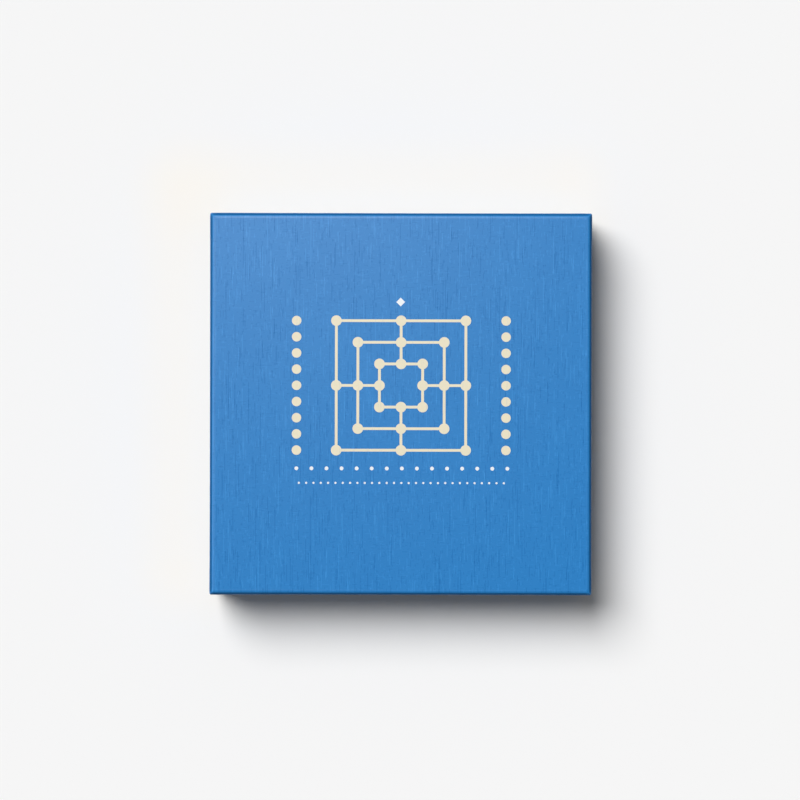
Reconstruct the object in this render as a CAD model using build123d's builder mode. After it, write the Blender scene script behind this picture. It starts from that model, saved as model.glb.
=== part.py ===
"""Nine men's morris set in a square lift-off-lid box, modelled piece by piece.

The set is drawn from its contents outwards. Eighteen turned men and a grooved wooden board sit in a
die-cut deck of layered card. The deck rests on a shelf, and the shelf on four cross-lapped partitions.
The tray and its lid are folded greyboard shells with stayed corners, each wrapped in one sheet of
cover paper that is turned in over its rim. Every size that can be chosen by itself is named once
below, and each piece takes its place from the ones that carry it.

Frame: millimetres, +Z up, origin on the table under the middle of the box. -Y is the front.
"""

import os

from build123d import *

os.makedirs("parts", exist_ok=True)

# ---------------------------------------------------------------- driving sizes, in millimetres
# Sheet stock
board_thickness = 2.0  # greyboard of the tray and the lid
wrap_thickness = 0.25  # cloth-grained cover paper
lining_thickness = 0.2  # paper inside the lid
stay_thickness = 0.15  # gummed tape round the greyboard corners
partition_thickness = 1.5
shelf_thickness = 2.0
deck_thickness = 6.0  # three plies of card, glued
facing_thickness = 0.25  # coloured paper on the deck

# Men and their wells
men_per_side = 9
man_diameter = 17.0
man_height = 8.0
man_foot_round = 0.8
man_crown_round = 1.3
man_waist_width = 3.0  # cove turned round the side, for grip
man_waist_depth = 0.55
man_dish_diameter = 9.0  # hollow turned in the top
man_dish_depth = 0.7
man_ring_width = 0.9  # groove turned in the top, round the dish
man_ring_depth = 0.4
man_ring_land = 0.45  # flat between the dish and the groove
well_clearance = 0.5  # between a man and its well, all round
well_side_web = 3.6  # card left on either side of a column of wells
well_pitch_web = 3.4  # card left at least between two wells of a column

# Playing board
morris_side = 146.0
morris_thickness = 6.4
morris_corner_radius = 3.0
morris_edge_round = 1.0
morris_foot_chamfer = 0.5
morris_border = 11.0  # from the board's edge to the middle of the outer line
groove_width = 1.4
groove_depth = 0.8
point_diameter = 7.0  # dished points where a man stands
point_depth = 1.0
morris_clearance = 0.75  # between the board and the window in the deck
finger_notch_radius = 11.0

# Folded rules sheet under the board
leaflet_margin = 3.0  # from the board's edge to the sheet's
leaflet_sheet = 0.2
leaflet_fold_gap = 0.2
leaflet_clearance = 0.1  # between the sheet and the board

# Platform, tray and lid
partition_height = 21.75
partition_spacing = 66.0
lap_clearance = 0.15  # on each face of a cross-lap slot
insert_clearance = 0.45  # between the platform and the tray wall
headroom = 1.55  # between the tallest piece and the lid's lining
lid_seat_gap = 0.1  # between the tray's rim and the lid's lining
lid_clearance = 0.6  # between the tray and the lid wall, all round
lid_reveal = 6.0  # strip of tray left showing under the lid
turn_in = 15.0  # cover paper folded over a rim
fold_radius = 3.0  # outside, along the folded edges of a panel
corner_radius = 1.1  # outside, along the upright corners
stay_reach = 14.0  # along each wall from a corner
stay_margin = 3.0  # from a stay's ends to the rim and to the panel

# ---------------------------------------------------------------- sizes that follow
well_radius = man_diameter / 2 + well_clearance
window_side = morris_side + 2 * morris_clearance
deck_across = window_side + 2 * (2 * well_radius + 2 * well_side_web)
deck_along = men_per_side * (2 * well_radius + well_pitch_web) + well_pitch_web
deck_side = max(deck_across, deck_along)
well_column = (window_side + deck_side) / 4  # midway between the window and the deck's edge
well_pitch = (deck_side - well_pitch_web) / men_per_side  # a column spreads along the whole deck

wall_thickness = wrap_thickness + board_thickness + wrap_thickness
tray_side = deck_side + 2 * (insert_clearance + wall_thickness)
lid_side = tray_side + 2 * (lid_clearance + wall_thickness)

tray_floor = wrap_thickness + board_thickness
shelf_bottom = tray_floor + partition_height
shelf_top = shelf_bottom + shelf_thickness
facing_bottom = shelf_top + deck_thickness
deck_top = facing_bottom + facing_thickness
leaflet_side = morris_side - 2 * leaflet_margin
leaflet_thickness = 2 * leaflet_sheet + leaflet_fold_gap
morris_bottom = shelf_top + leaflet_thickness + leaflet_clearance
morris_top = morris_bottom + morris_thickness
lining_bottom = max(shelf_top + man_height, morris_top, deck_top) + headroom
tray_rim = lining_bottom - lid_seat_gap
lid_panel_bottom = lining_bottom + lining_thickness
box_height = lid_panel_bottom + board_thickness + wrap_thickness


# ---------------------------------------------------------------- folded trays: tray and lid
class FoldedTray:
    """The sizes of one folded tray: rim is its open end and panel its closed face, both heights."""

    def __init__(self, side, rim, panel):
        self.side, self.rim, self.panel = side, rim, panel
        self.inward = 1 if panel > rim else -1  # way from the rim to the panel
        self.hollow_side = side - 2 * (wrap_thickness + board_thickness)
        self.mouth_side = side - 2 * wall_thickness

    def folded_form(self, inset):
        """The solid inside the tray's outer skin, inset on every face: square, with its folded
        edges rounded and mitred at the corners, and its upright corners rounded less."""
        side = self.side - 2 * inset
        rim = self.rim + self.inward * inset
        panel = self.panel - self.inward * inset
        with BuildPart() as form:
            with BuildSketch(Plane.XY.offset(rim)):
                RectangleRounded(side, side, corner_radius - inset)
            extrude(amount=panel - rim)
            for elevation in (Plane.XZ, Plane.YZ):
                with BuildSketch(elevation) as outline:
                    with Locations((0, (rim + panel) / 2)):
                        Rectangle(side, abs(panel - rim))
                    folds = outline.vertices().sort_by(Axis.Y, reverse=self.inward > 0)[:2]
                    fillet(folds, fold_radius - inset)
                extrude(amount=side, both=True, mode=Mode.INTERSECT)
        return form.part

    def corner_stays(self):
        """Four strips of gummed tape, pressed flush into the outside of the greyboard corners."""
        side = self.side - 2 * wrap_thickness
        inner_side = side - 2 * stay_thickness
        corner_spacing = side - stay_reach
        start = self.rim + self.inward * stay_margin
        length = abs(self.panel - self.rim) - 2 * stay_margin
        with BuildPart() as stays:
            with BuildSketch(Plane.XY.offset(start)):
                RectangleRounded(side, side, corner_radius - wrap_thickness)
                RectangleRounded(
                    inner_side,
                    inner_side,
                    corner_radius - wrap_thickness - stay_thickness,
                    mode=Mode.SUBTRACT,
                )
                with GridLocations(corner_spacing, corner_spacing, 2, 2):
                    Rectangle(stay_reach, stay_reach, mode=Mode.INTERSECT)
            extrude(amount=self.inward * length)
        return stays

    def greyboard(self, stays):
        """The folded shell itself: a panel and four walls, with the stays let into its corners."""
        board_rim = self.rim + self.inward * wrap_thickness
        hollow_depth = abs(self.panel - board_rim) - wrap_thickness - board_thickness
        with BuildPart() as board:
            add(self.folded_form(wrap_thickness))
            with BuildSketch(Plane.XY.offset(board_rim)):
                Rectangle(self.hollow_side, self.hollow_side)
            extrude(amount=self.inward * hollow_depth, mode=Mode.SUBTRACT)
            add(stays.part, mode=Mode.SUBTRACT)
        return board

    def cover_paper(self):
        """One sheet over the panel and the walls, round the rim and turned in on the inside."""
        with BuildPart() as paper:
            add(self.folded_form(0))
            add(self.folded_form(wrap_thickness), mode=Mode.SUBTRACT)
            with BuildSketch(Plane.XY.offset(self.rim)):
                Rectangle(self.mouth_side, self.mouth_side)
            extrude(amount=self.inward * wrap_thickness, mode=Mode.SUBTRACT)
            with BuildSketch(Plane.XY.offset(self.rim)):
                Rectangle(self.hollow_side, self.hollow_side)
                Rectangle(self.mouth_side, self.mouth_side, mode=Mode.SUBTRACT)
            extrude(amount=self.inward * turn_in)
        return paper


tray = FoldedTray(tray_side, tray_rim, 0)
lid = FoldedTray(lid_side, lid_reveal, box_height)

base_corner_stays = tray.corner_stays()
base_corner_stays.part.label = "base_corner_stays"
export_step(base_corner_stays.part, "parts/base_corner_stays.step")

base_board = tray.greyboard(base_corner_stays)
base_board.part.label = "base_board"
export_step(base_board.part, "parts/base_board.step")

base_wrap = tray.cover_paper()
base_wrap.part.label = "base_wrap"
export_step(base_wrap.part, "parts/base_wrap.step")

lid_corner_stays = lid.corner_stays()
lid_corner_stays.part.label = "lid_corner_stays"
export_step(lid_corner_stays.part, "parts/lid_corner_stays.step")

lid_board = lid.greyboard(lid_corner_stays)
lid_board.part.label = "lid_board"
export_step(lid_board.part, "parts/lid_board.step")

lid_wrap = lid.cover_paper()
lid_wrap.part.label = "lid_wrap"
export_step(lid_wrap.part, "parts/lid_wrap.step")

# Lining: covers the lid's inside down to the edge of the turned-in cover paper
turn_in_edge = lid_reveal + turn_in
lining_mouth = lid.hollow_side - 2 * lining_thickness
with BuildPart() as lid_lining:
    with BuildSketch(Plane.XY.offset(turn_in_edge)):
        Rectangle(lid.hollow_side, lid.hollow_side)
    extrude(amount=lid_panel_bottom - turn_in_edge)
    with BuildSketch(Plane.XY.offset(turn_in_edge)):
        Rectangle(lining_mouth, lining_mouth)
    extrude(amount=lining_bottom - turn_in_edge, mode=Mode.SUBTRACT)
lid_lining.part.label = "lid_lining"
export_step(lid_lining.part, "parts/lid_lining.step")

# ---------------------------------------------------------------- platform inside the tray
slot_width = partition_thickness + 2 * lap_clearance
slot_depth = partition_height / 2 + lap_clearance


def partition(elevation, place, slot_end):
    """One upright strip of the cross-lapped grid. It stands across elevation at the distance place,
    and its two slots run in from slot_end, which is Align.MIN for below and Align.MAX for above."""
    with BuildPart() as strip:
        with BuildSketch(elevation.offset(place)):
            with Locations((0, tray_floor)):
                Rectangle(deck_side, partition_height, align=(Align.CENTER, Align.MIN))
            slot_z = tray_floor if slot_end == Align.MIN else shelf_bottom
            with Locations((-partition_spacing / 2, slot_z), (partition_spacing / 2, slot_z)):
                Rectangle(slot_width, slot_depth, align=(Align.CENTER, slot_end), mode=Mode.SUBTRACT)
        extrude(amount=partition_thickness / 2, both=True)
    return strip


partitions = {
    "partition_front": partition(Plane.XZ, partition_spacing / 2, Align.MAX),
    "partition_back": partition(Plane.XZ, -partition_spacing / 2, Align.MAX),
    "partition_left": partition(Plane.YZ, -partition_spacing / 2, Align.MIN),
    "partition_right": partition(Plane.YZ, partition_spacing / 2, Align.MIN),
}
for name, strip in partitions.items():
    strip.part.label = name
    export_step(strip.part, f"parts/{name}.step")

with BuildPart() as shelf_board:
    with BuildSketch(Plane.XY.offset(shelf_bottom)):
        Rectangle(deck_side, deck_side)
    extrude(amount=shelf_thickness)
shelf_board.part.label = "shelf_board"
export_step(shelf_board.part, "parts/shelf_board.step")

# Columns of wells on the left and the right of the board's window
well_places = {
    colour: [
        (side * well_column, (row - (men_per_side - 1) / 2) * well_pitch)
        for row in range(men_per_side)
    ]
    for colour, side in (("blue", -1), ("cream", 1))
}


def die_cut_layer(bottom, thickness):
    """One layer of the deck, cut right through with the window, its finger notches and the wells."""
    window_radius = morris_corner_radius + morris_clearance
    with BuildPart() as layer:
        with BuildSketch(Plane.XY.offset(bottom)):
            Rectangle(deck_side, deck_side)
            RectangleRounded(window_side, window_side, window_radius, mode=Mode.SUBTRACT)
            with Locations((0, -window_side / 2), (0, window_side / 2)):
                Circle(finger_notch_radius, mode=Mode.SUBTRACT)
            with Locations(*well_places["blue"], *well_places["cream"]):
                Circle(well_radius, mode=Mode.SUBTRACT)
        extrude(amount=thickness)
    return layer


well_deck = die_cut_layer(shelf_top, deck_thickness)
well_deck.part.label = "well_deck"
export_step(well_deck.part, "parts/well_deck.step")

deck_facing = die_cut_layer(facing_bottom, facing_thickness)
deck_facing.part.label = "deck_facing"
export_step(deck_facing.part, "parts/deck_facing.step")

# ---------------------------------------------------------------- rules sheet, folded once
leaf_middle = leaflet_sheet / 2
fold_bend = (leaflet_sheet + leaflet_fold_gap) / 2  # radius of the fold's middle line
fold_start = -leaflet_side / 2 + fold_bend + leaf_middle
upper_leaf = shelf_top + leaf_middle + 2 * fold_bend
with BuildPart() as rules_leaflet:
    with BuildSketch(Plane.XZ):
        with BuildLine():
            Line((leaflet_side / 2, shelf_top + leaf_middle), (fold_start, shelf_top + leaf_middle))
            ThreePointArc(
                (fold_start, shelf_top + leaf_middle),
                (fold_start - fold_bend, shelf_top + leaf_middle + fold_bend),
                (fold_start, upper_leaf),
            )
            Line((fold_start, upper_leaf), (leaflet_side / 2, upper_leaf))
        trace(line_width=leaflet_sheet)
    extrude(amount=leaflet_side / 2, both=True)
rules_leaflet.part.label = "rules_leaflet"
export_step(rules_leaflet.part, "parts/rules_leaflet.step")

# ---------------------------------------------------------------- turned and dished hollows
def hollow_radius(width, depth):
    """The radius of the round tool that leaves a hollow this wide and this deep in a face."""
    return ((width / 2) ** 2 + depth**2) / (2 * depth)


# ---------------------------------------------------------------- wooden board with its grooved lines
outer_line = morris_side / 2 - morris_border
line_squares = [outer_line, outer_line * 2 / 3, outer_line / 3]  # half sides, evenly nested
points = [
    (half * column, half * row)
    for half in line_squares
    for column in (-1, 0, 1)
    for row in (-1, 0, 1)
    if (column, row) != (0, 0)
]
link_length = line_squares[0] - line_squares[-1]
link_middle = (line_squares[0] + line_squares[-1]) / 2
point_radius = hollow_radius(point_diameter, point_depth)
point_centre = morris_top - point_depth + point_radius

with BuildPart() as morris_board:
    with BuildSketch(Plane.XY.offset(morris_bottom)):
        RectangleRounded(morris_side, morris_side, morris_corner_radius)
    extrude(amount=morris_thickness)
    fillet(morris_board.faces().sort_by(Axis.Z)[-1].edges(), morris_edge_round)
    chamfer(morris_board.faces().sort_by(Axis.Z)[0].edges(), morris_foot_chamfer)
    with BuildSketch(Plane.XY.offset(morris_top)):
        for half in line_squares:
            Rectangle(2 * half + groove_width, 2 * half + groove_width)
            Rectangle(2 * half - groove_width, 2 * half - groove_width, mode=Mode.SUBTRACT)
        with PolarLocations(link_middle, 4):
            Rectangle(link_length, groove_width)
    extrude(amount=-groove_depth, mode=Mode.SUBTRACT)
    with Locations(*[(x, y, point_centre) for x, y in points]):
        Sphere(point_radius, mode=Mode.SUBTRACT)
morris_board.part.label = "morris_board"
export_step(morris_board.part, "parts/morris_board.step")


# ---------------------------------------------------------------- men
def turned_man(x, y):
    """A turned disc standing on the shelf at x, y: rounded foot and crown, a cove round its waist,
    and a dish inside a ring groove on top."""
    side = man_diameter / 2
    cove = hollow_radius(man_waist_width, man_waist_depth)
    dish = hollow_radius(man_dish_diameter, man_dish_depth)
    ring = hollow_radius(man_ring_width, man_ring_depth)
    ring_place = (man_dish_diameter + man_ring_width) / 2 + man_ring_land
    with BuildPart() as man:
        with BuildSketch(Plane(origin=(x, y, shelf_top), x_dir=(1, 0, 0), z_dir=(0, -1, 0))) as half:
            Rectangle(side, man_height, align=(Align.MIN, Align.MIN))
            outside = half.vertices().group_by(Axis.X)[-1].sort_by(Axis.Y)
            fillet(outside[0], man_foot_round)
            outside = half.vertices().group_by(Axis.Y)[-1].sort_by(Axis.X)
            fillet(outside[-1], man_crown_round)
            with Locations((side - man_waist_depth + cove, man_height / 2)):
                Circle(cove, mode=Mode.SUBTRACT)
            with Locations((0, man_height - man_dish_depth + dish)):
                Circle(dish, mode=Mode.SUBTRACT)
            with Locations((ring_place, man_height - man_ring_depth + ring)):
                Circle(ring, mode=Mode.SUBTRACT)
        revolve(axis=Axis((x, y, 0), (0, 0, 1)))
    return man


for colour, places in well_places.items():
    for number, (x, y) in enumerate(places, 1):
        name = f"man_{colour}_{number}"
        man = turned_man(x, y)
        man.part.label = name
        export_step(man.part, f"parts/{name}.step")
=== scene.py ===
"""A nine men's morris set in its lift-off-lid box: the finish of every piece.

Metres, +Z up, the origin on the table under the middle of the box, -Y at the front. The sections
follow the box as it is put together, from the tray outwards to the lid, and end with the table,
the light and the camera.
"""

import math

import bpy
import numpy as np
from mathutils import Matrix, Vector


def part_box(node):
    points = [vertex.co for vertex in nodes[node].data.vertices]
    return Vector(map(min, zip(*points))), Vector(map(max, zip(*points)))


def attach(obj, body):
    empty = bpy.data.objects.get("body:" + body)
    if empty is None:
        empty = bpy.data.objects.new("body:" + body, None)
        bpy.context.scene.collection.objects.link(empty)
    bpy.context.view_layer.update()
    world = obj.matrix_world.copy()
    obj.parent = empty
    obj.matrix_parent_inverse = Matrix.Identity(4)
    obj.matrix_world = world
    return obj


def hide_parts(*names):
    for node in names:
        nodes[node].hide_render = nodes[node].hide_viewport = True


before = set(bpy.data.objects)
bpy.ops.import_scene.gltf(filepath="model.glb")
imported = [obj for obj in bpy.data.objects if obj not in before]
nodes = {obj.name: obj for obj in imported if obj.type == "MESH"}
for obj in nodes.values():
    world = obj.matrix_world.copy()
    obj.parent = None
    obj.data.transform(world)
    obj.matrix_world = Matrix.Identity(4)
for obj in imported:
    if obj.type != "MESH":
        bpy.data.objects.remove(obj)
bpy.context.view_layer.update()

# ------------------------------------------------------------------ tray: greyboard and corner tape
# The tray is one sheet of grey board, creased and folded up into four walls. Strips of gummed kraft
# paper hold its corners. Both are hidden by the cover paper, except from inside the empty tray.
millimetre = 0.001
sharp_from = math.radians(40)  # edges that turn less than this are shaded smooth


class Wire:
    """A shader socket that can stand in a sum: an operator adds the Math node that works it out."""

    def __init__(self, finish, socket):
        self.finish = finish
        self.socket = socket

    def other(self, name):
        """Another output of the same node."""
        return Wire(self.finish, self.socket.node.outputs[name])

    def math(self, operation, *values):
        """What a Math node makes of one or two values or wires."""
        return self.finish.node("Math", {"operation": operation}, dict(enumerate(values)))

    def __add__(self, other):
        return self.math("ADD", self, other)

    __radd__ = __add__

    def __mul__(self, other):
        return self.math("MULTIPLY", self, other)

    __rmul__ = __mul__

    def __sub__(self, other):
        return self.math("SUBTRACT", self, other)

    def __rsub__(self, other):
        return self.math("SUBTRACT", other, self)

    def __truediv__(self, other):
        return self.math("DIVIDE", self, other)

    def __pow__(self, other):
        return self.math("POWER", self, other)

    def __gt__(self, other):
        return self.math("GREATER_THAN", self, other)

    def __lt__(self, other):
        return self.math("LESS_THAN", self, other)

    def __abs__(self):
        return self.math("ABSOLUTE", self)

    def sine(self):
        return self.math("SINE", self)

    def floor(self):
        return self.math("FLOOR", self)

    def fraction(self):
        return self.math("FRACT", self)

    def larger(self, other):
        return self.math("MAXIMUM", self, other)

    def smaller(self, other):
        return self.math("MINIMUM", self, other)

    def between(self, low, high):
        """0 below low, 1 above high, and a smooth step in between."""
        sockets = {"Value": self, "From Min": low, "From Max": high}
        return self.finish.node("MapRange", {"interpolation_type": "SMOOTHSTEP"}, sockets)


class Finish:
    """A procedural material, built node by node and closed by surface()."""

    def __init__(self, name):
        self.material = bpy.data.materials.new(name)
        self.material.use_nodes = True
        self.tree = self.material.node_tree
        self.tree.nodes.clear()

    def node(self, kind, settings=None, sockets=None, output=0):
        """Adds one shader node: its settings first, then a value or a wire for each socket."""
        made = self.tree.nodes.new("ShaderNode" + kind)
        for name, value in (settings or {}).items():
            setattr(made, name, value)
        for name, value in (sockets or {}).items():
            if isinstance(value, Wire):
                self.tree.links.new(value.socket, made.inputs[name])
            else:
                made.inputs[name].default_value = value
        return Wire(self, made.outputs[output]) if made.outputs else None

    def place(self, kind="Object"):
        """Where the shaded point is, in metres on the piece, or in metres on its sheet for UV."""
        return self.node("TexCoord", output=kind)

    def noise(self, place, detail=2.0, roughness=0.5, distortion=0.0):
        """Noise, about 0.5, whose patches measure about one unit of place."""
        sockets = {"Vector": place, "Scale": 1.0, "Detail": detail}
        sockets.update({"Roughness": roughness, "Distortion": distortion})
        return self.node("TexNoise", sockets=sockets)

    def mottle(self, place, size, turn=0.0, **settings):
        """Noise whose patches measure size, in millimetres: one number, or one for each axis, on
        axes turned about Z."""
        scale = 1 / (np.broadcast_to(size, 3) * millimetre)
        sockets = {"Vector": place, "Scale": scale, "Rotation": (0, 0, turn)}
        return self.noise(self.node("Mapping", sockets=sockets), **settings)

    def mix(self, share, first, second):
        """The first colour where share is 0 and the second where it is 1."""
        return self.node("Mix", {"data_type": "RGBA"}, {0: share, 6: first, 7: second}, output=2)

    def relief(self, height, depth):
        """The normal of a surface raised by height, from 0 to 1, times depth in metres."""
        return self.node("Bump", sockets={"Height": height, "Strength": 1.0, "Distance": depth})

    def surface(self, sockets):
        """The material, finished with one shader, from a value or a wire for each socket."""
        shader = self.node("BsdfPrincipled", sockets=sockets)
        self.node("OutputMaterial", sockets={"Surface": shader})
        return self.material


def srgb(red, green, blue):
    """A colour given as the 0 to 255 levels of a screen, in the linear light that shaders use."""
    levels = np.array((red, green, blue)) / 255
    low, high = levels / 12.92, ((levels + 0.055) / 1.055) ** 2.4
    return (*np.where(levels <= 0.04045, low, high).tolist(), 1.0)


def dress(names, material):
    """Gives CAD nodes a finish in place of the plain one that they come with."""
    for name in names:
        nodes[name].data.materials.clear()
        nodes[name].data.materials.append(material)


def linked(name, data):
    """An object for a mesh, a lamp or a camera, in the scene."""
    made = bpy.data.objects.new(name, data)
    bpy.context.scene.collection.objects.link(made)
    return made


def meshed(name, vertices, faces, material):
    """A mesh object from an array of points and a list of faces, in one material."""
    mesh = bpy.data.meshes.new(name)
    mesh.from_pydata(vertices.tolist(), [], faces)
    mesh.materials.append(material)
    return linked(name, mesh)


def new_piece(name, vertices, faces, material, body, slot, stands_for=()):
    """A meshed piece of the object, shaded smooth except across its sharp edges."""
    piece = meshed(name, vertices, faces, material)
    piece.data.shade_smooth()
    piece.data.set_sharp_from_angle(angle=sharp_from)
    if stands_for:
        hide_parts(stands_for)
    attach(piece, body)
    return piece


greyboard_pale = srgb(172, 168, 158)
greyboard_dark = srgb(132, 128, 120)
greyboard_fleck = srgb(88, 84, 78)
kraft_pale = srgb(194, 158, 114)
kraft_dark = srgb(166, 128, 86)


def greyboard_finish():
    """Pressed waste paper: a mottled grey with short fibres in every direction and a few flecks."""
    finish = Finish("greyboard")
    place = finish.place()
    cloud = finish.mottle(place, 4, detail=4)
    fibres = finish.mottle(place, (0.3, 1.2, 0.3), turn=0.7, distortion=1.5)
    flecks = finish.mottle(place, 0.6).between(0.68, 0.74)
    tone = 0.5 * cloud + 0.5 * fibres
    colour = finish.mix(tone.between(0.3, 0.7), greyboard_dark, greyboard_pale)
    colour = finish.mix(flecks * 0.5, colour, greyboard_fleck)
    sockets = {"Base Color": colour, "Roughness": 0.9}
    sockets["Normal"] = finish.relief(tone, 0.05 * millimetre)
    return finish.surface(sockets)


def kraft_finish():
    """Brown gummed paper tape: long fibres along the tape and a slight calendered gloss."""
    finish = Finish("gummed_kraft_tape")
    fibres = finish.mottle(finish.place(), (0.4, 0.4, 6), detail=3)
    colour = finish.mix(fibres.between(0.3, 0.7), kraft_dark, kraft_pale)
    sockets = {"Base Color": colour, "Roughness": 0.6}
    sockets["Normal"] = finish.relief(fibres, 0.03 * millimetre)
    return finish.surface(sockets)


greyboard = greyboard_finish()
dress(["base_board", "lid_board"], greyboard)
dress(["base_corner_stays", "lid_corner_stays"], kraft_finish())

# ------------------------------------------------------------------ tray: cover paper
# One sheet of blue paper with an embossed linen grain covers the outside of the tray. It is folded
# over the edges, turned in over the rim, and lapped at each upright corner, where the side sheet
# lies over the end of the front sheet.
cover_blue = srgb(43, 141, 213)
cover_shade = srgb(10, 104, 173)
# The colour of the painted shade along the outer edge of each fold.
fold_shade_colour = srgb(14, 90, 146)
coat_over_all = 0.24
coat_on_slubs = 0.42
coat_on_folds = 0.3
grain_depth = 0.05 * millimetre
thread = 0.5 * millimetre
thread_seed = 7.3  # how far apart in the noise two neighbouring threads, or bars of print, are
thread_waver = 0.4 * millimetre  # how far a thread strays sideways
waver_size = (20, 20, 1000)  # and over what lengths, in millimetres
upright_slubs = ((0.42, 22 * millimetre), (0.34, 5 * millimetre))  # share of the relief, length
level_slubs = ((0.24, 3.5 * millimetre),)
slub_steps = ((0.32, 0.35), (0.65, 0.68))  # levels of the noise at which a thread thickens

wall = 2.5 * millimetre  # greyboard with paper on both sides
paper = 0.25 * millimetre
fold_round = 3.0 * millimetre
fold_power = 2.1  # of the fold's superellipse: it bends slowly at first, and most at the very edge
corner_round = 1.1 * millimetre
least_round = 0.05 * millimetre  # of the corners inside the walls
rim_round = 0.35 * millimetre
turn_in = 15 * millimetre
# A painted shade darkens the outer edge of each fold as far as an inset on the panel and a depth
# on the wall, and the folds are rubbed smooth between two insets. Each limit is a pair: where the
# change begins and where it is over.
fold_shade_inset = np.array((1.3, 1.75)) * millimetre
fold_shade_depth = np.array((1.2, 2.2)) * millimetre
rubbed = np.array((1.4, 1.8, 3.0, 3.5)) * millimetre
corner_fade = 1.5 * millimetre  # over which both weaken towards an upright corner,
corner_weight = 0.3  # and what is left of them there
side_bow = 0.08 * millimetre  # the walls' slight hollow, halfway along
corner_swell = 0.06 * millimetre  # how far the stay and the laps thicken a corner
swell_length = 8 * millimetre
lap_step = 0.1 * millimetre  # down from the side sheet's cut edge to the front sheet under it
lap_place = 0.5 * millimetre  # from the corner's round to that cut edge
lap_ramp = 3 * millimetre  # over which the front sheet comes out to the walls' face
flap_length = 13 * millimetre  # of the front sheet, under the side sheet
flap_step = 0.04 * millimetre
flap_ramp = 1 * millimetre


def linen_grain(finish, sheet):
    """The embossed cloth grain on a sheet of paper, as (height, slub), each from 0 to 1.

    Fine threads cross. Each is thick for a stretch, then thin, as a noise along it says that is
    read at a new place for every thread. These slubs are what shows from afar: long ones up the
    sheet and fewer, shorter ones across it.
    """
    waver = finish.mottle(sheet, waver_size) * thread_waver
    parts = finish.node("SeparateXYZ", sockets={0: sheet})
    across, along = parts.other("X") + waver, parts.other("Y") + waver
    slub = 0
    for count, run, slubs in ((across, along, upright_slubs), (along, across, level_slubs)):
        number = (count / thread).floor() * thread_seed
        for share, length in slubs:
            spot = finish.node("CombineXYZ", sockets={"X": number, "Y": run / length, "Z": share})
            level = finish.noise(spot, detail=1)
            thick = level.between(*slub_steps[0]) + level.between(*slub_steps[1])
            slub = thick * (share / 2) + slub
    warp, weft = (across * (2 * math.pi / thread)).sine(), (along * (2 * math.pi / thread)).sine()
    return 0.5 * slub + 0.25 - 0.125 * warp - 0.125 * weft, slub


def cover_finish():
    """Linen-embossed cover paper: paler and glossier on the raised threads and where a fold is
    rubbed, with a painted shade, darker and with less coat, along each fold's outer edge."""
    finish = Finish("linen_cover_paper")
    height, slub = linen_grain(finish, finish.place("UV"))
    cloud = finish.mottle(finish.place("UV"), (30, 50, 1000), detail=3)
    tone = 0.95 * slub + 0.05 * cloud.between(0.3, 0.7)
    colour = finish.mix(tone, cover_shade, cover_blue)
    # A painted shade along the outer edge of each fold: a darker colour and less coat there.
    painted_fold_shade = finish.node("Attribute", {"attribute_name": "painted_fold_shade"}, output="Fac")
    smooth = finish.node("Attribute", {"attribute_name": "rubbed"}, output="Fac")
    sockets = {"Base Color": finish.mix(painted_fold_shade, colour, fold_shade_colour)}
    sockets.update({"Roughness": 0.45, "Specular IOR Level": 0.12, "Coat Roughness": 0.47})
    coat = coat_over_all + coat_on_slubs * slub + coat_on_folds * smooth
    sockets["Coat Weight"] = coat * (1 - painted_fold_shade)
    sockets["Normal"] = finish.relief(height, grain_depth)
    return finish.surface(sockets)


def wrapped_fold(depth):
    """The cover paper's section, from the start of the fold to the turned-in edge.

    Each row is (inset from the wall's outside, depth below the panel). The distance of each row
    along the paper comes as a second array. The paper turns down through a quarter of a
    superellipse, whose place out and down is worked out from the slope of the paper there, falls to
    the rim, crosses it round two small quarter rounds, and comes back up inside the wall.
    """
    slope = np.radians((0, 1.5, 4, 7.5, 12, 18, 25, 33, 42, 52, 62, 72, 81, 90))
    out, down = np.sin(slope) ** (1 / (fold_power - 1)), np.cos(slope) ** (1 / (fold_power - 1))
    size = (out ** fold_power + down ** fold_power) ** (1 / fold_power)
    fold = fold_round * np.stack((1 - out / size, 1 - down / size), 1)
    quarter = np.linspace(0, math.pi / 2, 9)
    out, down = np.sin(quarter), 1 - np.cos(quarter)
    straight = np.linspace(fold_round, depth - rim_round, 8)[1:-1]
    outer = np.stack((np.zeros_like(straight), straight), 1)
    rim = np.stack((rim_round * down, depth - rim_round + rim_round * out), 1)
    back = np.stack((wall - rim_round * down[::-1], depth - rim_round + rim_round * out[::-1]), 1)
    inside = np.array([[wall, depth - turn_in / 2], [wall, depth - turn_in]])
    section = np.concatenate((fold, outer, rim, back, inside))
    steps = np.hypot(*np.diff(section, axis=0).T)
    return section, np.concatenate(([0], np.cumsum(steps)))


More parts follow.
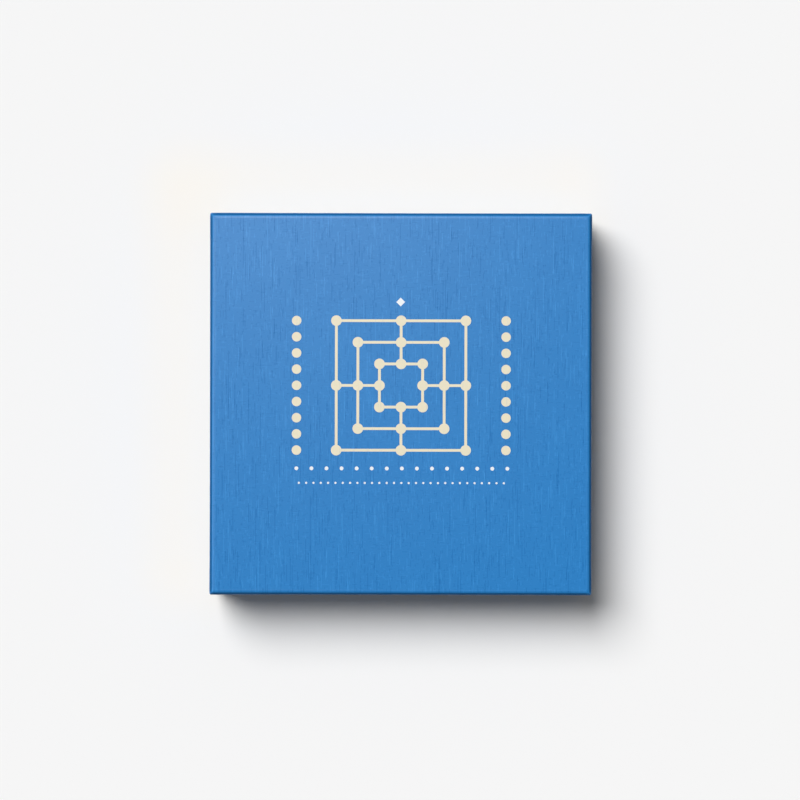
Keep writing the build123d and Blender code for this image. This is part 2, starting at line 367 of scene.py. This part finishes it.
def square_columns(straight):
    """How the columns of a cover sheet stand round its square, whose sides are straight for twice
    that length: as (side, share, bend, weight, relief), one value of each for every column.

    The sides count from 0 to 3. share runs from -1 to 1 along a side, and bend is the turn made on
    the quarter round after it. weight fades the fold's painted shade and its rubbed gloss near a
    corner. relief is how far the column lies inside the square: a parabola over share for the
    walls' bow, an exponential of the distance from the corner for its swelling, and the steps and
    ramps of the laps.
    """
    near = np.array([0, 0.45, 0.5, 1, 2.5, 5, 9, 13, 14, 20, 32, 50, 75]) * millimetre
    shares = 1 - near / straight
    shares = np.concatenate((-shares, [0], shares[::-1]))
    arc = np.linspace(0, 1, 7)[1:-1]
    share = np.concatenate((shares, np.ones(len(arc))))
    bend = np.concatenate((np.zeros(len(shares)), arc)) * math.pi / 2
    from_corner = (1 - np.abs(share)) * straight

    over_flap = flap_step * np.clip((from_corner - flap_length) / flap_ramp, 0, 1)
    side_sheet = np.where(from_corner < lap_place, lap_step, over_flap)
    front_sheet = lap_step * np.clip(1 - from_corner / lap_ramp, 0, 1)
    hollow = side_bow * (1 - share ** 2) + corner_swell * (1 - np.exp(-from_corner / swell_length))
    relief = np.concatenate((side_sheet + hollow, front_sheet + hollow) * 2)
    weight = np.interp(from_corner, (0, corner_fade), (corner_weight, 1))
    side = np.repeat(np.arange(4), len(share))
    return side, np.tile(share, 4), np.tile(bend, 4), np.tile(weight, 4), relief


def laid_flat(here, along, side):
    """The places on the sheet, laid flat, of points here on the folded one, for its UV map.

    A point lies as far out from the middle as it is along the paper, towards its side of the
    square, and as far sideways as it stands, so that the grain follows the paper over the folds.
    """
    cosine, sine = np.cos(side * math.pi / 2), np.sin(side * math.pi / 2)
    sideways = cosine * here[..., 1] - sine * here[..., 0]
    return np.stack((along * cosine - sideways * sine, along * sine + sideways * cosine), 2)


def cover_sheet(name, width, depth, panel, inward, body, stands_for):
    """A folded cover sheet: its section carried round a square with rounded corners.

    The rows of the grid cross the flat panel from near its middle and go on as the section's, and
    its columns stand round the square. inward is 1 where the panel is above the rim, and else -1.
    """
    half = width / 2
    section, run = wrapped_fold(depth)
    flat = np.append(half * np.array([0.03, 0.2, 0.45, 0.7, 0.88, 0.95]), half - rubbed[-1])
    rows = np.concatenate((np.stack((half - flat, np.zeros_like(flat)), 1), section))
    inset, drop = rows[:, :1], rows[:, 1:]
    on_wall = np.clip(drop / fold_round, 0, 1) * (inset < wall / 2)
    side, share, bend, weight, relief = square_columns(half - corner_round)
    radius = np.maximum(corner_round - inset, least_round)
    local_x = half - inset - on_wall * relief - radius + radius * np.cos(bend)
    local_y = (half - inset - radius) * share + radius * np.sin(bend)
    cosine, sine = np.cos(side * math.pi / 2), np.sin(side * math.pi / 2)
    x = local_x * cosine - local_y * sine
    y = local_x * sine + local_y * cosine
    vertices = np.stack((x, y, np.broadcast_to(panel - inward * drop, x.shape)), 2)

    index = np.arange(x.size).reshape(x.shape)
    after = np.roll(index, -1, axis=1)
    quads = np.stack((index[:-1], index[1:], after[1:], after[:-1]), 2).reshape(-1, 4)
    along = np.concatenate((flat, half - fold_round + run)).repeat(len(side))[quads]
    quad_side = np.tile(side, len(rows) - 1)[:, None]
    sheet = laid_flat(vertices.reshape(-1, 3)[quads], along, quad_side)
    sheet = np.concatenate((sheet[:, ::inward].reshape(-1, 2), vertices[0, ::inward, :2]))

    faces = quads[:, ::inward].tolist() + [index[0, ::inward].tolist()]
    cover = new_piece(name, vertices.reshape(-1, 3), faces, cover_paper, body, "cover_paper",
                      stands_for)
    cover.data.uv_layers.new(name="sheet").data.foreach_set("uv", sheet.ravel())
    # How far the painted shade along each fold's edge and the rubbed gloss reach, as attributes.
    painted_fold_shade = np.interp(inset, fold_shade_inset, (1, 0)) * np.interp(drop, fold_shade_depth, (1, 0))
    smooth = np.interp(inset, rubbed, (0, 1, 1, 0)) * (drop < fold_round)
    for title, amount in (("painted_fold_shade", painted_fold_shade), ("rubbed", smooth)):
        attribute = cover.data.attributes.new(title, "FLOAT", "POINT")
        attribute.data.foreach_set("value", (amount * weight).ravel())
    thickness = cover.modifiers.new("paper", "SOLIDIFY")
    thickness.thickness = paper
    thickness.offset = -1


cover_paper = cover_finish()
tray_low, tray_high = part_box("base_wrap")
cover_sheet("tray_cover", tray_high.x - tray_low.x, tray_high.z, 0.0, -1, "box_tray", "base_wrap")

# ------------------------------------------------------------------ partitions and shelf
# Four strips of thin brown card, slotted into each other, stand on the tray's floor and carry a
# shelf of grey board. They lift the game up near the lid.
card_pale = srgb(190, 156, 114)
card_dark = srgb(160, 126, 88)
flute_pitch = 1.8 * millimetre


def partition_finish():
    """Thin corrugated card: flat kraft liners that show the ridges of its flutes as faint bands."""
    finish = Finish("corrugated_card")
    place = finish.place()
    parts = finish.node("SeparateXYZ", sockets={0: place})
    flutes = ((parts.other("X") + parts.other("Y")) * (2 * math.pi / flute_pitch)).sine()
    fibres = finish.mottle(place, (0.5, 0.5, 2), detail=4)
    tone = 0.6 * fibres + 0.1 * flutes + 0.2
    colour = finish.mix(tone.between(0.25, 0.75), card_dark, card_pale)
    sockets = {"Base Color": colour, "Roughness": 0.85}
    sockets["Normal"] = finish.relief(tone, 0.06 * millimetre)
    return finish.surface(sockets)


dress([name for name in nodes if name.startswith("partition_")], partition_finish())
dress(["shelf_board"], greyboard)

# ------------------------------------------------------------------ deck and its facing
# Three plies of card, glued and die-cut with eighteen wells and a window for the board. Cream paper
# covers the top. The plies show as bands in the cut edges.
ply = 2 * millimetre
ply_waver = 0.12 * millimetre
ply_pale = srgb(212, 205, 190)
ply_dark = srgb(184, 176, 160)
ply_glue = srgb(120, 110, 96)
facing_pale = srgb(233, 225, 204)
facing_dark = srgb(222, 213, 190)


def deck_finish(bottom):
    """Card cut through: pale plies with a thin dark glue line between them."""
    finish = Finish("layered_card")
    place = finish.place()
    height = finish.node("SeparateXYZ", sockets={0: place}).other("Z") - bottom
    waver = finish.mottle(place, 3) * ply_waver
    glue = abs(((height + waver) / ply).fraction() - 0.5).between(0.44, 0.49)
    fibres = finish.mottle(place, (0.9, 0.9, 0.1), detail=3)
    colour = finish.mix(fibres.between(0.3, 0.7), ply_dark, ply_pale)
    colour = finish.mix(glue * 0.75, colour, ply_glue)
    sockets = {"Base Color": colour, "Roughness": 0.9}
    sockets["Normal"] = finish.relief(fibres - glue * 0.8, 0.06 * millimetre)
    return finish.surface(sockets)


def facing_finish():
    """Uncoated cream paper, with the soft cloud and the fine tooth of its fibres."""
    finish = Finish("cream_facing_paper")
    place = finish.place()
    cloud = finish.mottle(place, 6, detail=4)
    tooth = finish.mottle(place, 0.3, detail=2)
    tone = (0.5 * cloud + 0.5 * tooth).between(0.35, 0.65)
    sockets = {"Base Color": finish.mix(tone, facing_dark, facing_pale)}
    sockets.update({"Roughness": 0.8, "Normal": finish.relief(tone, 0.02 * millimetre)})
    return finish.surface(sockets)


dress(["well_deck"], deck_finish(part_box("well_deck")[0].z))
dress(["deck_facing"], facing_finish())

# ------------------------------------------------------------------ rules sheet
# A white sheet, folded once, lies under the board. It is printed with a small picture of the board
# and with plain bars where such a sheet has its lines of print.
sheet_white = srgb(246, 246, 242)
sheet_grey = srgb(236, 236, 230)
drawing_middle = 26 * millimetre  # up from the middle of the sheet
drawing_reaches = (30 * millimetre, 20 * millimetre, 10 * millimetre)
drawing_line = 0.7 * millimetre
bar_pitch = 3.8 * millimetre
bar_share = 0.34  # of the pitch
bar_start = -53 * millimetre
bar_rows = (-58 * millimetre, -12 * millimetre)
bar_lengths = (33 * millimetre, 106 * millimetre)
sheet_ink = 0.85


def leaflet_finish():
    """White uncoated paper, printed on top with nested squares and, below them, rows of bars."""
    finish = Finish("printed_leaflet")
    place = finish.place()
    parts = finish.node("SeparateXYZ", sockets={0: place})
    x, y = parts.other("X"), parts.other("Y")
    across, up = abs(x), abs(y - drawing_middle)
    square = across.larger(up)
    links = (across.smaller(up) < drawing_line / 2) * (square > drawing_reaches[-1])
    drawing = links * (square < drawing_reaches[0])
    for reach in drawing_reaches:
        drawing = (abs(square - reach) < drawing_line / 2) + drawing
    row = y / bar_pitch
    spot = finish.node("CombineXYZ", sockets={"X": row.floor() * thread_seed})
    share = finish.noise(spot, detail=0).between(0.3, 0.5)
    length = share * (bar_lengths[1] - bar_lengths[0]) + bar_lengths[0]
    bars = (row.fraction() > 1 - bar_share) * (y > bar_rows[0]) * (y < bar_rows[1])
    bars = bars * (x > bar_start) * (x < length + bar_start)
    ink = (drawing + bars).smaller(1)
    tooth = finish.mottle(place, 0.4)
    blank = finish.mix(tooth, sheet_grey, sheet_white)
    sockets = {"Base Color": finish.mix(ink * sheet_ink, blank, cover_shade), "Roughness": 0.75}
    sockets["Normal"] = finish.relief(tooth, 0.01 * millimetre)
    return finish.surface(sockets)


dress(["rules_leaflet"], leaflet_finish())

# ------------------------------------------------------------------ wooden board
# A beech board with three nested squares and their links cut by a round-nosed tool and painted, and
# a shallow dish at each of the twenty-four points for a man to stand in.
board_low, board_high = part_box("morris_board")
board_half = board_high.x
board_corner = 3.0 * millimetre
board_edge_round = 1.0 * millimetre
board_foot = 0.5 * millimetre
line_reach = board_half - 11 * millimetre
lines = line_reach * np.array([1, 2 / 3, 1 / 3])
groove_half = 0.7 * millimetre
groove_depth = 0.8 * millimetre
dish_half = 3.5 * millimetre
dish_depth = 1.0 * millimetre
paint_depth = 0.1 * millimetre  # below the board's face, where the painted cuts begin
paint_reach = line_reach + 5 * millimetre  # from the middle; the rounded edges stay bare
groove_paint = srgb(44, 98, 158)
beech_pale = srgb(226, 190, 146)
beech_warm = srgb(203, 160, 114)
beech_ray = srgb(150, 104, 66)


def cut_depth(x, y):
    """How deep the board is cut at x, y.

    A groove is as deep as a half ellipse over the distance to its middle line, which is where the
    larger of |x| and |y| equals a square's reach, or where the smaller is 0 between the squares. A
    dish is as deep as a parabola over the distance to its point. The deeper of the two counts.
    """
    larger, smaller = np.maximum(np.abs(x), np.abs(y)), np.minimum(np.abs(x), np.abs(y))
    to_square = np.abs(larger[..., None] - lines).min(-1)
    to_link = np.where((larger > lines[-1]) & (larger < lines[0]), smaller, 1.0)
    to_line = np.minimum(to_square, to_link) / groove_half
    groove = groove_depth * np.sqrt(np.clip(1 - to_line ** 2, 0, 1))
    off_square = np.abs(larger[..., None] - lines)
    off_point = np.minimum(smaller[..., None], np.abs(smaller[..., None] - lines))
    to_point = np.hypot(off_square, off_point).min(-1) / dish_half
    dish = dish_depth * np.clip(1 - to_point ** 2, 0, 1)
    return np.maximum(groove, dish)


def board_top():
    """The board's top, as points over a grid that is finest at the cuts.

    The grid's ticks stand at_line and at_edge, in millimetres, from the lines and the edges. A grid
    point e inside the edge lies on the edge's quarter round where e is under its radius. In a
    corner the square grid is drawn in to a quarter circle, ring by ring.
    """
    at_line = np.array([0, 0.25, 0.45, 0.6, 0.68, 0.72, 1.2, 1.8, 2.4, 2.9, 3.3, 3.5, 3.8])
    at_edge = np.array([0, 0.04, 0.15, 0.35, 0.6, 1.0, 2.0, 3.0, 4.5])
    stops = np.concatenate(([0], lines, -lines))
    at_stops = np.add.outer(stops, np.concatenate((-at_line, at_line)) * millimetre)
    at_rims = np.outer((-1, 1), board_half - at_edge * millimetre)
    between = np.outer((-1, 1), (lines + np.append(lines[1:], 0)) / 2)
    ticks = np.concatenate((at_stops.ravel(), at_rims.ravel(), between.ravel()))
    ticks = np.unique(np.round(ticks, 7))
    x, y = np.meshgrid(ticks, ticks, indexing="ij")
    edge = board_half - np.maximum(np.abs(x), np.abs(y))
    lip = np.clip(board_edge_round - edge, 0, board_edge_round)
    drop = board_edge_round - np.sqrt(board_edge_round ** 2 - lip ** 2)
    z = board_high.z - drop - cut_depth(x, y)
    centre = board_half - board_corner
    dx, dy = np.clip(np.abs(x) - centre, 0, None), np.clip(np.abs(y) - centre, 0, None)
    pull = np.maximum(dx, dy) / np.maximum(np.hypot(dx, dy), 1e-9)
    in_corner = (dx > 0) & (dy > 0)
    x = np.where(in_corner, np.sign(x) * (centre + dx * pull), x)
    y = np.where(in_corner, np.sign(y) * (centre + dy * pull), y)
    return np.stack((x, y, z), 2)


def board_mesh():
    """The board's top, with a ring of points under its border and one round its chamfered foot."""
    grid = board_top()
    top = grid.reshape(-1, 3)
    index = np.arange(len(top)).reshape(grid.shape[:2])
    quads = np.stack((index[:-1, :-1], index[1:, :-1], index[1:, 1:], index[:-1, 1:]), 2)
    border = np.concatenate((index[:-1, 0], index[-1, :-1], index[:0:-1, -1], index[0, :0:-1]))
    side = top[border] * (1, 1, 0) + (0, 0, board_low.z + board_foot)
    foot = top[border] * (1 - board_foot / board_half, 1 - board_foot / board_half, 0)
    foot += (0, 0, board_low.z)
    below = len(top) + np.arange(len(border))
    rings = [border, below, below + len(border)]
    faces = quads.reshape(-1, 4).tolist()
    for upper, lower in zip(rings, rings[1:]):
        faces += np.stack((upper, lower, np.roll(lower, -1), np.roll(upper, -1)), 1).tolist()
    faces.append(rings[-1][::-1].tolist())
    return np.concatenate((top, side, foot)), faces


def beech_grain(finish, place, pale, warm):
    """Steamed beech: long even grain, faint growth bands, and the short dark flecks of its rays.

    The grain runs along the first axis of place. What comes back is the wood's (colour, height,
    tone), for the caller to paint and to close.
    """
    bands = finish.mottle(place, (160, 10, 10), detail=3, distortion=0.4)
    grain = finish.mottle(place, (20, 0.6, 0.6), detail=3, roughness=0.6)
    rays = finish.mottle(place, (1.6, 0.22, 0.4), detail=1).between(0.62, 0.72)
    tone = 0.55 * bands + 0.45 * grain
    colour = finish.mix(tone.between(0.32, 0.68), warm, pale)
    colour = finish.mix(rays * 0.35, colour, beech_ray)
    return colour, 0.6 * grain + 0.4 * (1 - rays), tone


def board_finish():
    """Oiled beech whose cuts are painted blue: all that lies deeper than the paint's depth, within
    its reach, with the paint worn thin in specks."""
    finish = Finish("oiled_beech")
    place = finish.place()
    colour, height, tone = beech_grain(finish, place, beech_pale, beech_warm)
    parts = finish.node("SeparateXYZ", sockets={0: place})
    x, y, z = (parts.other(axis) for axis in "XYZ")
    inside = (abs(x) < paint_reach) * (abs(y) < paint_reach)
    deep = board_high.z - z
    cut = deep.between(paint_depth * 0.6, paint_depth * 1.4) * (deep < 2 * dish_depth) * inside
    specks = finish.mottle(place, 0.8, detail=2)
    painted = cut * (0.55 + 0.45 * specks.between(0.25, 0.4))
    sockets = {"Base Color": finish.mix(painted, colour, groove_paint)}
    sockets["Roughness"] = 0.42 + 0.1 * tone
    sockets.update({"Coat Weight": 0.15, "Coat Roughness": 0.3})
    sockets["Normal"] = finish.relief(height, 0.03 * millimetre)
    return finish.surface(sockets)


board = board_mesh()
new_piece("grooved_board", *board, board_finish(), "morris_board", "board_wood", "morris_board")

# ------------------------------------------------------------------ men
# Eighteen turned beech men, nine of them stained blue and nine left pale. Each has a rounded foot
# and crown, a cove round its waist to hold it by, and a dish and a ring turned in its top.
man_low, man_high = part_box("man_blue_1")
man_side = (man_high.x - man_low.x) / 2
man_tall = man_high.z - man_low.z
man_foot_round = 0.8 * millimetre
man_crown_round = 1.3 * millimetre
cove_half, cove_depth = 1.5 * millimetre, 0.55 * millimetre
hollow_half, hollow_depth = 4.5 * millimetre, 0.7 * millimetre
ring_half, ring_depth = 0.45 * millimetre, 0.4 * millimetre
ring_place = 5.4 * millimetre
lathe_steps = 56
man_pale = srgb(234, 204, 162)
man_warm = srgb(212, 172, 126)
blue_stain = (srgb(22, 66, 118), srgb(38, 98, 160))  # in the hard and in the soft grain


def man_section():
    """Half the man's outline, as (radius, height) from the foot's middle to the top's middle.

    The foot and the crown are quarter rounds. The cove, the ring and the dish are parabolas of
    their own depth over their half width.
    """
    quarter = np.linspace(0, math.pi / 2, 7)
    dip = np.linspace(-1, 1, 9)
    foot = np.stack((man_side - man_foot_round * (1 - np.sin(quarter)),
                     man_foot_round * (1 - np.cos(quarter))), 1)
    cove = np.stack((man_side - cove_depth * (1 - dip ** 2), man_tall / 2 + cove_half * dip), 1)
    crown = np.stack((man_side - man_crown_round * (1 - np.cos(quarter)),
                      man_tall - man_crown_round * (1 - np.sin(quarter))), 1)
    ring = np.stack((ring_place - ring_half * dip, man_tall - ring_depth * (1 - dip ** 2)), 1)
    across = np.linspace(1, 0, 9)
    hollow = np.stack((hollow_half * across, man_tall - hollow_depth * (1 - across ** 2)), 1)
    return np.concatenate(([[0, 0]], foot, cove, crown, ring, hollow))


def turned(section, x, y, z, steps):
    """A section carried round an upright axis at x, y: rings of points, closed at both poles."""
    radius, height = section[1:-1].T
    angle = np.arange(steps) * 2 * math.pi / steps
    rings = np.stack((x + np.outer(radius, np.cos(angle)), y + np.outer(radius, np.sin(angle)),
                      np.broadcast_to(z + height[:, None], (len(radius), steps))), 2)
    index = np.arange(rings.shape[0] * steps).reshape(-1, steps)
    after = np.roll(index, -1, axis=1)
    faces = np.stack((index[:-1], after[:-1], after[1:], index[1:]), 2).reshape(-1, 4).tolist()
    low = np.full(steps, index.size)
    faces += np.stack((low, after[0], index[0]), 1).tolist()
    faces += np.stack((low + 1, index[-1], after[-1]), 1).tolist()
    poles = np.array([[x, y, z + section[0, 1]], [x, y, z + section[-1, 1]]])
    return np.concatenate((rings.reshape(-1, 3), poles)), faces


def man_finish(name, stain=None):
    """Beech with its grain upright, so that the top shows end grain, under a satin lacquer. A
    stain, as a dark and a light colour, covers the wood and keeps its grain as streaks."""
    finish = Finish(name)
    sockets = {"Vector": finish.place(), "Rotation": (0, math.pi / 2, 0)}
    upright = finish.node("VectorRotate", {"rotation_type": "EULER_XYZ"}, sockets)
    colour, height, tone = beech_grain(finish, upright, man_pale, man_warm)
    if stain:
        colour = finish.mix(tone.between(0.3, 0.7), *stain)
    sockets = {"Base Color": colour, "Roughness": 0.31 + 0.1 * tone}
    sockets.update({"Coat Weight": 0.35, "Coat Roughness": 0.2})
    sockets["Normal"] = finish.relief(height, 0.02 * millimetre)
    return finish.surface(sockets)


man_finishes = {
    "blue": (man_finish("stained_beech", blue_stain), "blue_wood"),
    "cream": (man_finish("lacquered_beech"), "pale_wood"),
}
for name in [name for name in nodes if name.startswith("man_")]:
    finish, slot = man_finishes[name.split("_")[1]]
    low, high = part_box(name)
    middle = (low + high) / 2
    shape = turned(man_section(), middle.x, middle.y, low.z, lathe_steps)
    new_piece("turned_" + name, *shape, finish, name, slot, name)

# ------------------------------------------------------------------ lid
# The lid is made as the tray is, a little larger, and lined with white paper down to the edge of
# its turned-in cover. It drops over the tray and leaves a strip of it showing.
lining_white = srgb(240, 236, 226)
lining_grey = srgb(228, 223, 211)
wire_pitch = 1.1 * millimetre
ink_lift = 0.015 * millimetre  # a film of ink; two of them overlap on the points


def lining_finish():
    """Smooth white lining paper with the faint wire lines of its making."""
    finish = Finish("lining_paper")
    place = finish.place()
    cloud = finish.mottle(place, 5, detail=4)
    across = finish.node("SeparateXYZ", sockets={0: place}).other("X")
    tone = 0.8 * cloud + 0.05 * (across * (2 * math.pi / wire_pitch)).sine() + 0.1
    sockets = {"Base Color": finish.mix(tone.between(0.3, 0.7), lining_grey, lining_white)}
    sockets.update({"Roughness": 0.7, "Normal": finish.relief(tone, 0.01 * millimetre)})
    return finish.surface(sockets)


dress(["lid_lining"], lining_finish())
lid_low, lid_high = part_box("lid_wrap")
lid_side = lid_high.x - lid_low.x
lid_top = lid_high.z - 2 * ink_lift
cover_sheet("lid_cover", lid_side, lid_top - lid_low.z, lid_top, 1, "box_lid", "lid_wrap")

# ------------------------------------------------------------------ print on the lid
# The lid is printed in cream and in white ink with the old figure of the game: three nested squares
# with their links and points, a column of nine men on either side, and rows of small dots below.
ink_cream = srgb(231, 222, 194)
ink_white = srgb(236, 240, 243)
picture = 800  # pixels along the picture's edge
lid_in_picture = 383.1  # pixels along the lid's edge
lid_middle_px = (400.8, 404.1)
figure_px = (401, 385.5)
lozenge_px = (400.5, 302)
man_columns_px = (296.5, 506.0)
pixel = lid_side / lid_in_picture


def on_lid(px, py):
    """A pixel of the picture as a place on the lid's top, in metres."""
    return (px - lid_middle_px[0]) * pixel, (lid_middle_px[1] - py) * pixel


figure_middle = np.array(on_lid(*figure_px))
figure_squares = 35.5 * millimetre * np.array([1, 2 / 3, 1 / 3])  # from the middle to each line
figure_line = 1.5 * millimetre
figure_point = 2.9 * millimetre
man_print = 2.6 * millimetre
men_printed = 9  # on either side
lozenge_reach = 2.4 * millimetre
dot_rows = (
    # pixels of the first dot, the last dot and the row, how many dots, and their radius
    ((296.5, 507.5, 468.5), 15, 1.05 * millimetre),
    ((299.0, 504.0, 483.0), 29, 0.6 * millimetre),
)


def ink_finish(name, colour):
    """Matt ink that has taken the linen's grain and lies thinner on the raised threads."""
    finish = Finish(name)
    height, slub = linen_grain(finish, finish.place())
    thin = slub.between(0.55, 0.8) * 0.12
    sockets = {"Base Color": finish.mix(thin, colour, cover_blue), "Roughness": 0.55}
    sockets["Normal"] = finish.relief(height, grain_depth)
    return finish.surface(sockets)


def inked(name, outlines, material, lift=ink_lift):
    """A film of ink on the lid, from outlines whose points go round against the clock.

    Outlines that share an edge grow together: a wall stands only on an edge that no other outline
    passes the other way.
    """
    places, spots = np.unique(np.round(np.concatenate(outlines), 7), axis=0, return_inverse=True)
    count = len(places)
    tops = np.split(spots.ravel(), np.cumsum([len(outline) for outline in outlines])[:-1])
    edges = np.concatenate([np.stack((top, np.roll(top, -1)), 1) for top in tops])
    first, last = edges[~np.isin(edges @ (1, count), edges @ (count, 1))].T
    upper = np.insert(places, 2, lid_top + lift, axis=1)
    lower = np.insert(places, 2, lid_top - ink_lift, axis=1)
    faces = [top.tolist() for top in tops] + [(top[::-1] + count).tolist() for top in tops]
    faces += np.stack((last, first, first + count, last + count), 1).tolist()
    vertices = np.concatenate((upper, lower))
    new_piece(name, vertices, faces, material, "box_lid", "cover_paper")


def disc(x, y, radius, steps=40):
    """A circle's outline."""
    angle = np.arange(steps) * 2 * math.pi / steps
    return np.stack((x + radius * np.cos(angle), y + radius * np.sin(angle)), 1)


def in_four(outline):
    """An outline on the figure's right, and its copies turned to the other three sides."""
    spins = [np.array([(a, b), (-b, a)]) for a, b in ((1, 0), (0, 1), (-1, 0), (0, -1))]
    return [np.array(outline) @ spin + figure_middle for spin in spins]


cream_ink = ink_finish("cream_ink", ink_cream)
white_ink = ink_finish("white_ink", ink_white)
half_line = figure_line / 2
line_work = []
for reach in figure_squares:
    out, within = reach + half_line, reach - half_line
    outer = [(out, y) for y in (-out, -half_line, half_line, out)]
    inner = [(within, y) for y in (-within, -half_line, half_line, within)]
    for stretch in zip(outer, outer[1:], inner[1:], inner):
        line_work += in_four(stretch)
for near, far in zip(figure_squares[1:] + half_line, figure_squares - half_line):
    line_work += in_four([(near, -half_line), (far, -half_line),
                          (far, half_line), (near, half_line)])
inked("printed_lines", line_work, cream_ink)

grid = np.array([(a, b) for a in (-1, 0, 1) for b in (-1, 0, 1) if (a, b) != (0, 0)])
points = np.concatenate([figure_middle + reach * grid for reach in figure_squares])
inked("printed_points", [disc(*point, figure_point) for point in points], cream_ink, 2 * ink_lift)

man_rows = figure_middle[1] + figure_squares[0] * np.linspace(-1, 1, men_printed)
man_places = [(on_lid(column, 0)[0], y) for column in man_columns_px for y in man_rows]
inked("printed_men", [disc(*place, man_print) for place in man_places], cream_ink)

inked("printed_lozenge", [disc(*on_lid(*lozenge_px), lozenge_reach, steps=4)], white_ink)

dots = []
for (first, last, row), count, radius in dot_rows:
    for column in np.linspace(first, last, count):
        dots.append(disc(*on_lid(column, row), radius, steps=20))
inked("printed_dots", dots, white_ink)

# ------------------------------------------------------------------ table, light and camera
# A plain pale table and backdrop under one broad soft light from the far left, and a little light
# from all round. The camera looks straight down on the middle of the lid.
table_reach = 8.0  # from the middle to its sides, near enough for every view to show them
backdrop_reach = 7.92
backdrop_height = 3.0
stage_shade = (0.922, 0.922, 0.922, 1)
# A painted warm tint, near the box, against the blue light that its walls throw on the table.
warm_shade = (0.962, 0.924, 0.860, 1)  # close to the box, against the blue that its walls throw
warm_reach = 40 * millimetre
warm_shift = 15 * millimetre  # to the sides that the key light falls on
table_bounce = (0.35, 0.35, 0.35, 1)  # what the table passes on to the object
light_slope = (-0.50, 0.60)  # sideways and away for one up
light_spread = math.radians(40)
key_share = 0.855  # of the light on the table
fill_share = 0.145  # the rest of it, from all round
gloss_lamps = {
    # place, width, watts: the sheen over the lid, and the bright line along its left edge
    "sheen_light": ((-0.13, 0.36, 0.9), 0.4, 7.2),
    "edge_light": ((-0.9, 0.1, 0.9), 0.4, 4.5),
}
camera_height = 1.27  # above the lid's top
camera_roll = math.radians(0.12)


def as_seen(finish, shade, passed_on):
    """A shade for rays that come straight from the camera or by way of a reflection, and another
    one for the light that is passed on to the object."""
    ray = finish.node("LightPath", output="Is Camera Ray")
    seen = (ray + ray.other("Is Glossy Ray") + ray.other("Is Transmission Ray")).smaller(1)
    return finish.mix(seen, passed_on, shade)


def table_finish():
    """Matt, with a warm tint painted near the box against the blue light its walls throw."""
    finish = Finish("matt_table")
    parts = finish.node("SeparateXYZ", sockets={0: finish.place()})
    x, y = parts.other("X") + warm_shift, parts.other("Y") - warm_shift
    across, along = [(abs(place) - lid_side / 2).larger(0) for place in (x, y)]
    far = ((across * across + along * along) ** 0.5).between(0, warm_reach)
    shade = finish.mix(far, warm_shade, stage_shade)
    sockets = {"Base Color": as_seen(finish, shade, table_bounce), "Roughness": 1.0}
    sockets["Specular IOR Level"] = 0.0
    return finish.surface(sockets)


def backdrop_finish():
    """A plain glow: the stage's shade to look at, and the world's strength as a light."""
    finish = Finish("pale_backdrop")
    fill = (fill_share, fill_share, fill_share, 1)
    sockets = {"Emission Color": as_seen(finish, stage_shade, fill), "Emission Strength": 1.0}
    sockets.update({"Base Color": (0, 0, 0, 1), "Roughness": 1.0, "Specular IOR Level": 0.0})
    return finish.surface(sockets)


def aimed_lamp(name, kind, source, **settings):
    """A lamp that shines from the side where source lies towards the origin."""
    lamp = bpy.data.lights.new(name, kind)
    for setting, value in settings.items():
        setattr(lamp, setting, value)
    made = linked(name, lamp)
    made.rotation_euler = Vector(source).to_track_quat("Z", "Y").to_euler()
    return made


corners = np.array([(-1, -1, 0), (1, -1, 0), (1, 1, 0), (-1, 1, 0)])
table = meshed("table", table_reach * corners, [(0, 1, 2, 3)], table_finish())

foot = backdrop_reach * corners
standing = np.concatenate((foot, foot + (0, 0, backdrop_height)))
sides = [(0, 4, 5, 1), (1, 5, 6, 2), (2, 6, 7, 3), (3, 7, 4, 0)]
backdrop = meshed("backdrop", standing, sides, backdrop_finish())
backdrop.visible_shadow = False

sun = Vector((*light_slope, 1))  # a strength of pi times its length lights the level table by 1
key_light = aimed_lamp("key_light", "SUN", sun, energy=key_share * math.pi * sun.length,
                       angle=light_spread)
key_light.visible_glossy = False

for name, (place, width, watts) in gloss_lamps.items():
    lamp = aimed_lamp(name, "AREA", place, shape="DISK", size=width, energy=watts)
    lamp.location = place
    lamp.visible_diffuse = False
    lamp.visible_camera = False

world = bpy.data.worlds.new("studio")
bpy.context.scene.world = world
world.use_nodes = True
world.node_tree.nodes["Background"].inputs["Color"].default_value = (1, 1, 1, 1)
world.node_tree.nodes["Background"].inputs["Strength"].default_value = fill_share

camera = bpy.data.cameras.new("camera")
camera.sensor_width = 36.0
camera.lens = camera.sensor_width * camera_height / (picture * pixel)
camera_object = linked("camera", camera)
camera_object.location = (*on_lid(picture / 2, picture / 2), lid_top + camera_height)
camera_object.rotation_euler = (0, 0, camera_roll)
bpy.context.scene.camera = camera_object
bpy.context.scene.view_settings.view_transform = "Standard"
